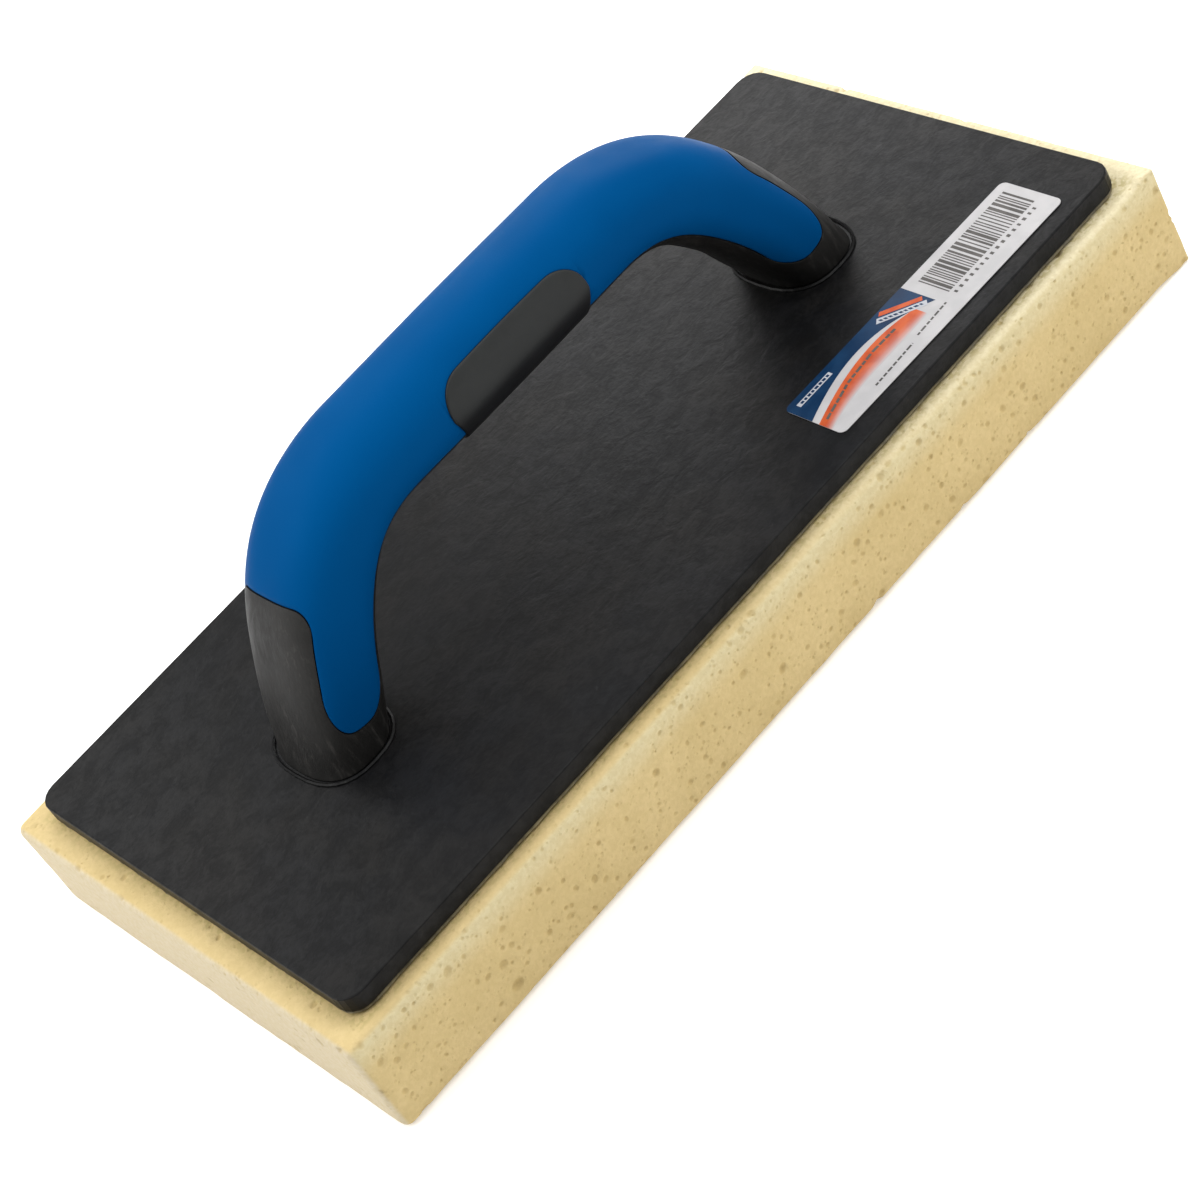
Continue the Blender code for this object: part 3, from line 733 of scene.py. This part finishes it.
# Pores: log-normal radii in millimetres, and depths as a share of the shorter radius.
PORE_RADIUS = 0.62
PORE_SPREAD = 0.42
PORE_LARGEST = 1.9
PORE_DEPTH = (0.24, 0.58)
PORE_GAP = 1.12
PORE_CLEARING = 1.12
PORE_RINGS = (1.08, 0.96, 0.72)
SMALL_PORE = 0.6
RING_INSET = 0.0002

# Points of the skin. Under the board, beyond a margin, there are none.
EDGE_SPACING = 0.0009
EDGE_LANES = (0.0007, 0.0014, 0.0021)
LANE_SPACING = EDGE_SPACING * 1.3
FILL_INSET = EDGE_LANES[-1] * 1.6
OPEN_SPACING = 0.0021
JITTER = OPEN_SPACING * 0.35
HIDDEN_MARGIN = 0.0100

# Unevenness of the skin: depth and length.
WAVE = (0.00030, 0.024)
RIPPLE = (0.00018, 0.005)
REST_RELIEF = 0.00012


def sponge_sides():
    """The six faces of the block: its corner, its two directions, its sizes and its pores' density."""
    low, high = SPONGE_LOW, SPONGE_HIGH
    size = high - low
    x, y, z = np.eye(3)
    return (
        ("front", low, x, z, size[0], size[2], 0.058),
        ("back", np.array((low[0], high[1], low[2])), x, z, size[0], size[2], 0.058),
        ("left", low, y, z, size[1], size[2], 0.014),
        ("right", np.array((high[0], low[1], low[2])), y, z, size[1], size[2], 0.035),
        ("under", low, x, y, size[0], size[1], 0.030),
        ("top", np.array((low[0], low[1], high[2])), x, y, size[0], size[1], 0.015),
    )


def scatter_pores(rng, length, width, per_square_mm):
    """Oval pores spread over one face: centre, two radii and a turn, none running into another."""
    pores = []
    wanted = int(length * width / MM ** 2 * per_square_mm)
    for _ in range(wanted * 3):
        if len(pores) >= wanted:
            break
        radius = min(MM * PORE_RADIUS * math.exp(rng.gauss(0.0, PORE_SPREAD)), MM * PORE_LARGEST)
        ratio = rng.uniform(0.70, 1.0)
        u, v = rng.uniform(0.0, length), rng.uniform(0.0, width)
        far = all(math.hypot(u - p[0], v - p[1]) > (radius + p[2]) * PORE_GAP for p in pores)
        if far:
            pores.append((u, v, radius, radius * ratio, rng.uniform(0.0, math.pi)))
    return pores


def face_points(rng, name, length, width, pores):
    """Points that a face is triangulated from: its border, loops round each pore and a loose fill."""
    points = []
    for size, place in ((length, lambda s, e: (s, e)), (width, lambda s, e: (e, s))):
        other = width if size == length else length
        steps = max(int(size / EDGE_SPACING), 1)
        for step in range(steps + 1):
            for end in (0.0, other):
                points.append(place(size * step / steps, end))
    for lane in EDGE_LANES:
        for u in np.arange(lane, length - lane, LANE_SPACING):
            points += [(u, lane), (u, width - lane)]
        for v in np.arange(lane, width - lane, LANE_SPACING):
            points += [(lane, v), (length - lane, v)]
    for u in np.arange(FILL_INSET, length - EDGE_LANES[-1], OPEN_SPACING):
        for v in np.arange(FILL_INSET, width - EDGE_LANES[-1], OPEN_SPACING):
            inset = min(u, v, length - u, width - v)
            if name == "top" and inset > HIDDEN_MARGIN:
                continue
            points.append((u + rng.uniform(-JITTER, JITTER), v + rng.uniform(-JITTER, JITTER)))
    tree = kdtree.KDTree(len(points))
    for index, (u, v) in enumerate(points):
        tree.insert((u, v, 0.0), index)
    tree.balance()
    dropped = set()
    rings = []
    for u, v, long_radius, short_radius, turn in pores:
        for _, index, _ in tree.find_range((u, v, 0.0), long_radius * PORE_CLEARING):
            a, b = points[index]
            if 1e-7 < a < length - 1e-7 and 1e-7 < b < width - 1e-7:
                dropped.add(index)
        around = 7 if long_radius < SMALL_PORE * MM else 10
        rows = [(share, around) for share in PORE_RINGS] + [(0.36, around // 2), (0.0, 1)]
        for share, count in rows:
            for step in range(count):
                at = 2 * math.pi * (step + 0.5 * (share < 0.9)) / count
                du, dv = long_radius * share * math.cos(at), short_radius * share * math.sin(at)
                a = u + du * math.cos(turn) - dv * math.sin(turn)
                b = v + du * math.sin(turn) + dv * math.cos(turn)
                if RING_INSET < a < length - RING_INSET and RING_INSET < b < width - RING_INSET:
                    rings.append((a, b))
    return [p for index, p in enumerate(points) if index not in dropped] + rings


def rounded(points):
    """Pulls points of a sharp block onto its rounded form. Returns them with their normals."""
    far = eased(points[:, 0], SPONGE_HIGH[0] - FAR_TAPER, SPONGE_HIGH[0] - SPONGE_ROUND)[:, None]
    reach = SPONGE_ROUND + (FAR_ROUND - SPONGE_ROUND) * far
    core = np.clip(points, SPONGE_LOW + reach, SPONGE_HIGH - reach)
    normals = points - core
    normals = normals / np.linalg.norm(normals, axis=1)[:, None]
    return core + normals * reach, normals


def build_sponge(material):
    """The sponge as a rounded block with real pores cut into a gently uneven skin."""
    rng = random.Random(SEED)
    vertices, faces, pores = [], [], []
    for name, corner, u_way, v_way, length, width, density in sponge_sides():
        flat = scatter_pores(rng, length, width, density)
        if name == "top":
            flat = [p for p in flat if min(p[0], p[1], length - p[0], width - p[1]) < HIDDEN_MARGIN]
        points = face_points(rng, name, length, width, flat)
        placed, _, cells, *_ = delaunay_2d_cdt([Vector(p) for p in points], [], [], 0, 1e-7)
        first = len(vertices)
        vertices += [corner + u_way * p.x + v_way * p.y for p in placed]
        faces += [[first + index for index in cell] for cell in cells]
        for u, v, long_radius, short_radius, turn in flat:
            long_way = u_way * math.cos(turn) + v_way * math.sin(turn)
            short_way = v_way * math.cos(turn) - u_way * math.sin(turn)
            pores.append((corner + u_way * u + v_way * v, long_way, short_way, long_radius, short_radius))
    vertices, normals = rounded(np.array(vertices))
    depth, pore_shade = pore_depths(rng, vertices, pores)
    for index, point in enumerate(vertices):
        wave = 0.5 + 0.5 * noise.noise(Vector(point) / WAVE[1])
        ripple = 0.5 + 0.5 * noise.noise(Vector(point) / RIPPLE[1])
        depth[index] += WAVE[0] * wave + RIPPLE[0] * ripple
    resting = normals[:, 2] < -0.5
    depth[resting] -= REST_RELIEF
    vertices = vertices - normals * np.maximum(depth, 0.0)[:, None]
    board_low, board_high = (np.array(corner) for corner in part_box("backing_board"))
    beyond = eased(vertices[:, 0], board_high[0] + SWELL_BEYOND[0], board_high[0] + SWELL_BEYOND[1])
    vertices[:, 2] += FAR_SWELL * beyond * eased(vertices[:, 2], *SWELL_HEIGHTS)
    piece = make_piece("sponge_block", vertices, faces, material, "sponge", 60.0)
    off_board = np.abs(vertices - (board_low + board_high) / 2) - (board_high - board_low) / 2
    off_board = off_board[:, :2].max(axis=1)
    up = eased(normals[:, 2], 0.5, 0.9)
    # Painted shade in the pores, darker further down.
    store(piece, "pore", pore_shade)
    far = eased(vertices[:, 0], -0.040, 0.130)
    # Painted light along the top of the sides, and on the top near the far end.
    store(piece, "edge", eased(vertices[:, 2], 0.019, 0.028) * (1 - up * (1 - far)))
    # Painted light on the end faces.
    store(piece, "end", eased(np.abs(normals[:, 0]), 0.4, 0.8))
    # Painted shade on top-facing skin near the board's edge, where the board shades it.
    store(piece, "painted_board_shade", up * (1 - eased(off_board, 0.0004, 0.0026)))
    # Painted light on top-facing skin towards the far end.
    store(piece, "far", up * far)
    weld(piece.data)
    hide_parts("sponge_pad")


def pore_depths(rng, vertices, pores):
    """How deep each vertex lies in the pore over it, and how far down that pore it is, 0 to 1, which sets
    its painted shade.
    """
    tree = kdtree.KDTree(len(vertices))
    for index, point in enumerate(vertices):
        tree.insert(point, index)
    tree.balance()
    depth = np.zeros(len(vertices))
    pore_shade = np.zeros(len(vertices))
    for centre, long_way, short_way, long_radius, short_radius in pores:
        deepest = short_radius * rng.uniform(*PORE_DEPTH)
        for point, index, _ in tree.find_range(centre, long_radius * 1.02):
            away = np.array(point) - centre
            share = math.hypot(away @ long_way / long_radius, away @ short_way / short_radius)
            if share < 1.0:
                sink = (1 - share * share) ** 0.75
                depth[index] = max(depth[index], deepest * sink)
                pore_shade[index] = max(pore_shade[index], min(sink * 1.25, 1.0))
    return depth, pore_shade


def weld(mesh):
    """Joins the faces of the block along its edges."""
    shape = bmesh.new()
    shape.from_mesh(mesh)
    bmesh.ops.remove_doubles(shape, verts=shape.verts, dist=0.00002)
    bmesh.ops.recalc_face_normals(shape, faces=shape.faces)
    shape.to_mesh(mesh)
    shape.free()


# ------------------------------------------------------------------ glue

GLUE_CORNER = 0.0050
GLUE_POINTS = 900
GLUE_RUN = 0.0003


def build_glue(material):
    """Glue squeezed out unevenly between the sponge and the board."""
    low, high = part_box("adhesive_layer")
    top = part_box("backing_board")[0].z
    middle = (low + high) / 2
    half = (high - low) / 2
    loop = []
    for quarter, (sx, sy) in enumerate(((1, 1), (-1, 1), (-1, -1), (1, -1))):
        for step in range(9):
            turn = math.pi / 2 * (quarter + step / 8)
            x = middle.x + sx * (half.x - GLUE_CORNER)
            y = middle.y + sy * (half.y - GLUE_CORNER)
            loop.append((x + GLUE_CORNER * math.cos(turn), y + GLUE_CORNER * math.sin(turn)))
    loop.append(loop[0])
    outline = np.array(loop)
    steps = np.linalg.norm(np.diff(outline, axis=0), axis=1)
    along = np.concatenate(((0.0,), np.cumsum(steps)))
    at = np.linspace(0.0, along[-1], GLUE_POINTS, endpoint=False)
    ring = np.stack([np.interp(at, along, outline[:, axis]) for axis in (0, 1)], axis=1)
    ahead = np.roll(ring, -1, axis=0) - np.roll(ring, 1, axis=0)
    outward = np.stack((ahead[:, 1], -ahead[:, 0]), axis=1)
    outward = outward / np.linalg.norm(outward, axis=1)[:, None]
    vertices = []
    levels = (
        (SPONGE_HIGH[2] - 0.0001, 0.0000),
        (low.z, 0.0004),
        ((low.z + high.z) / 2, 0.0006),
        (top - 0.00002, 0.0002),
    )
    for height, bulge in levels:
        for place, way in zip(ring, outward):
            run = noise.noise(Vector((*place, 0.0)) / 0.006)
            run += 0.6 * noise.noise(Vector((*place, 1.0)) / 0.0018)
            swell = bulge + GLUE_RUN * run
            vertices.append((*(place + way * swell), height))
    faces = grid_faces(len(levels), GLUE_POINTS, closed=True)
    faces.append(tuple(range(GLUE_POINTS)))
    faces.append(tuple(range(GLUE_POINTS * (len(levels) - 1), GLUE_POINTS * len(levels))))
    piece = make_piece("glue_line", vertices, faces, material, "glue", 60.0)
    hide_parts("adhesive_layer")


# ------------------------------------------------------------------ label

LABEL_LOW, LABEL_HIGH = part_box("product_label")
LABEL_TURN = math.radians(-1.0)
PRINT_LIFT = 0.00003
INK_DEPTH = 0.9
CURVE_POINTS = 24

# Label's field and bars, in millimetres from its centre.
FIELD_LEFT = -40.0
FIELD_TOP = 10.12
FIELD_END = 2.2
FIELD_ROUND = 1.6
BARS_FROM = 5.5
BARS_TO = 36.6
BARS_LOW = -3.1
BARS_HEIGHT = 10.3
BAR_WIDTHS = (0.34, 0.34, 0.62, 0.90)
BAR_GAPS = (0.30, 0.42, 0.66)


def label_place(u, v, lift=1):
    """A point on the label from its own coordinates, in millimetres from its centre."""
    centre = (LABEL_LOW + LABEL_HIGH) / 2
    turn = Matrix.Rotation(LABEL_TURN, 3, "Z") @ Vector((u * MM, v * MM, 0.0))
    return (centre.x + turn.x, centre.y + turn.y, LABEL_HIGH.z + PRINT_LIFT * lift)


def curve_between(points):
    """A cubic run close to a few points, v as a function of u."""
    us, vs = np.array(points).T
    at = np.linspace(us[0], us[-1], CURVE_POINTS)
    smooth = np.polynomial.Polynomial.fit(us, vs, 3)
    return [(u, float(smooth(u))) for u in at]


def print_layer(name, loops, material, lift=1):
    """Flat printed shapes, each a closed loop of label coordinates, a hair above the paper."""
    vertices, faces = [], []
    for loop in loops:
        first, count = len(vertices), len(loop)
        vertices += [label_place(u, v, lift) for u, v in loop]
        vertices += [label_place(u, v, lift - INK_DEPTH) for u, v in loop]
        faces.append(tuple(range(first, first + count)))
        faces.append(tuple(range(first + 2 * count - 1, first + count - 1, -1)))
        for here in range(count):
            there = (here + 1) % count
            faces.append((first + here, first + count + here, first + count + there, first + there))
    return make_piece(name, vertices, faces, material, "label", 30.0)


def bar(u, v, width, height, slope=0.0):
    """A plain printed bar from its lower left corner."""
    end = v + slope * width
    return [(u, v), (u + width, end), (u + width, end + height), (u, v + height)]


def dashes(start, end, height, rng, run=(0.9, 1.8), space=0.45):
    """A row of plain short bars between two points, where the original has small print."""
    (u0, v0), (u1, v1) = start, end
    slope = (v1 - v0) / (u1 - u0)
    row, u = [], u0
    while u < u1:
        width = min(rng.uniform(*run), u1 - u)
        row.append(bar(u, v0 + slope * (u - u0), width, height, slope))
        u += width + space
    return row


def build_label_print(navy, orange, ink, white):
    """A navy field, an orange sweep and a badge, laid out as on the real label, and bars for lettering."""
    corner = []
    for turn in np.linspace(0.0, 1.57, 6):
        u = FIELD_LEFT + FIELD_ROUND * (1 - math.cos(turn))
        corner.append((u, FIELD_TOP - FIELD_ROUND * (1 - math.sin(turn))))
    start, end = (FIELD_LEFT, 0.4), (FIELD_END, -1.6)
    sweep = curve_between((start, (-33.3, 3.0), (-21.0, 5.5), (-11.0, 5.3), (-5.0, 2.6), end))
    print_layer("label_field", [corner + [(FIELD_END, FIELD_TOP)] + sweep[::-1]], navy)
    upper = curve_between(((FIELD_LEFT, -2.0), (-29.2, 1.8), (-19.5, 3.3), (-10.0, 3.6), (-2.0, 1.4)))
    lower = curve_between(((FIELD_LEFT, -6.6), (-32.9, -4.2), (-25.0, -3.8), (-12.0, -3.0), (-2.0, -2.8)))
    build_sweep(upper, lower, orange)
    rng = random.Random(SEED + 1)
    bars, u = [], BARS_FROM
    while u < BARS_TO:
        width = rng.choice(BAR_WIDTHS)
        bars.append(bar(u, BARS_LOW, width, BARS_HEIGHT))
        u += width + rng.choice(BAR_GAPS)
    bars += dashes((6.0, -5.3), (36.0, -5.3), 1.1, rng, (0.5, 0.9), 1.2)
    bars += dashes((-25.0, -7.2), (-11.0, -6.5), 0.6, rng)
    bars += dashes((-8.5, -5.8), (2.5, -5.2), 0.6, rng)
    print_layer("label_bars", bars, ink)
    starts = ((-38.0, -3.2), (-27.0, 0.2), (-17.0, 1.4))
    ends = ((-27.6, 0.0), (-17.6, 1.3), (-9.0, 1.2))
    over_orange = []
    for start, end in zip(starts, ends):
        over_orange += dashes(start, end, 0.8, rng, (1.2, 2.4), 0.4)
    plain = [bar(-37.6, 6.6, 11.4, 1.5)]
    badge = [[(-9.6, 7.4), (-8.2, 8.6), (1.4, 0.6), (0.2, -0.9)]]
    print_layer("label_blocks", plain + badge, white, lift=2)
    print_layer("label_marks", over_orange, ink, lift=2)
    print_layer("label_stripe", [[(-7.4, 8.7), (-6.2, 9.6), (1.9, 2.6), (0.9, 1.5)]], orange, lift=2)
    over_white = dashes((-36.7, 6.95), (-26.8, 6.95), 0.8, rng, (0.7, 1.1), 0.4)
    over_white += dashes((-8.4, 7.0), (0.0, 0.2), 0.9, rng, (0.5, 0.8), 0.35)
    print_layer("label_navy_marks", over_white, navy, lift=3)


def build_sweep(upper, lower, material):
    """The orange sweep as a strip whose ink fades towards its lower side."""
    lanes = ((0.0, 0.0), (0.42, 0.0), (0.65, 0.15), (0.85, 0.55), (1.0, 1.0))
    vertices, fade = [], []
    for share, value in lanes:
        for (u, v), (_, below) in zip(upper, lower):
            vertices.append(label_place(u, v + (below - v) * share))
            fade.append(value)
    vertices = np.array(vertices)
    under = vertices - (0.0, 0.0, PRINT_LIFT * INK_DEPTH)
    faces = grid_faces(len(lanes), len(upper))
    piece = make_piece("label_sweep", *shell(vertices, under, faces), material, "label", 30.0)
    store(piece, "fade", np.array(fade * 2))


# ------------------------------------------------------------------ studio

FLOOR_REACH = 6.0
FLOOR_DROP = 0.0002


def add_softbox(name, azimuth, elevation, distance, size, power):
    """A softbox aimed at the float, its azimuth counted from +X towards +Y, in degrees."""
    light = bpy.data.lights.new(name, "AREA")
    light.shape = "RECTANGLE"
    light.size, light.size_y = size
    light.energy = power
    item = bpy.data.objects.new(name, light)
    level = math.cos(math.radians(elevation))
    turn = math.radians(azimuth)
    way = Vector((level * math.cos(turn), level * math.sin(turn), math.sin(math.radians(elevation))))
    item.location = way * distance
    item.rotation_euler = way.to_track_quat("Z", "Y").to_euler()
    bpy.context.scene.collection.objects.link(item)


def build_studio():
    """The floor, an evenly lit world and the softboxes."""
    mesh = bpy.data.meshes.new("floor")
    corners = ((-1, -1), (1, -1), (1, 1), (-1, 1))
    mesh.from_pydata([(FLOOR_REACH * x, FLOOR_REACH * y, 0) for x, y in corners], [], [(0, 1, 2, 3)])
    mesh.materials.append(floor_material())
    floor = bpy.data.objects.new("floor", mesh)
    floor.location.z = -FLOOR_DROP
    bpy.context.scene.collection.objects.link(floor)
    world = bpy.data.worlds.new("studio_air")
    bpy.context.scene.world = world
    world.use_nodes = True
    backdrop = world.node_tree.nodes["Background"]
    backdrop.inputs["Color"].default_value = rgb(1.0, 1.0, 1.0)
    backdrop.inputs["Strength"].default_value = 0.40
    add_softbox("overhead_softbox", 10.0, 80.0, 1.3, (1.4, 1.2), 12.5)
    add_softbox("left_softbox", 155.0, 42.0, 1.3, (1.0, 0.8), 10.0)
    add_softbox("back_right_softbox", 50.0, 27.0, 0.45, (0.30, 0.14), 0.64)
    add_softbox("back_left_softbox", 105.0, 38.0, 0.60, (0.30, 0.20), 0.60)
    add_softbox("front_softbox", -38.0, 38.0, 0.85, (0.70, 0.55), 2.75)
    bpy.context.scene.view_settings.view_transform = "Standard"


def build_camera():
    """A long lens from the near left and above, rolled."""
    data = bpy.data.cameras.new("camera")
    data.sensor_width = 36.0
    data.lens = 97.14
    data.clip_end = 50.0
    camera = bpy.data.objects.new("camera", data)
    right = Vector((0.6519, -0.6322, -0.4187))
    up = Vector((0.7021, 0.2947, 0.6482))
    turn = Matrix((right, up, right.cross(up))).transposed()
    camera.matrix_world = Matrix.Translation((-0.2322, -0.5606, 0.4999)) @ turn.to_4x4()
    bpy.context.scene.collection.objects.link(camera)
    bpy.context.scene.camera = camera


def dress(node, material):
    """Gives a kept CAD node its finish."""
    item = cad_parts[node]
    item.data.materials.clear()
    item.data.materials.append(material)


def main():
    """The studio, the rebuilt pieces and the finish of the CAD nodes that are kept."""
    build_camera()
    build_studio()
    outlines = build_cover(blue_material()), build_pad(pad_material())
    build_core(core_material(), outlines)
    build_sponge(sponge_material())
    build_glue(glue_material())
    dress("backing_board", board_material())
    paper = print_material("label_paper", (0.40, 0.392, 0.395), (0.44, 0.430, 0.432))
    dress("product_label", paper)
    navy = print_material("label_navy", (0.002, 0.020, 0.060), (0.003, 0.029, 0.080))
    ink = print_material("label_ink", (0.060, 0.056, 0.052), (0.090, 0.084, 0.078))
    white = print_material("label_white", (0.38, 0.39, 0.42), (0.43, 0.44, 0.47))
    build_label_print(navy, orange_material(), ink, white)
    steel = steel_material()
    for number in range(1, 5):
        dress(f"handle_screw_{number}", steel)


main()
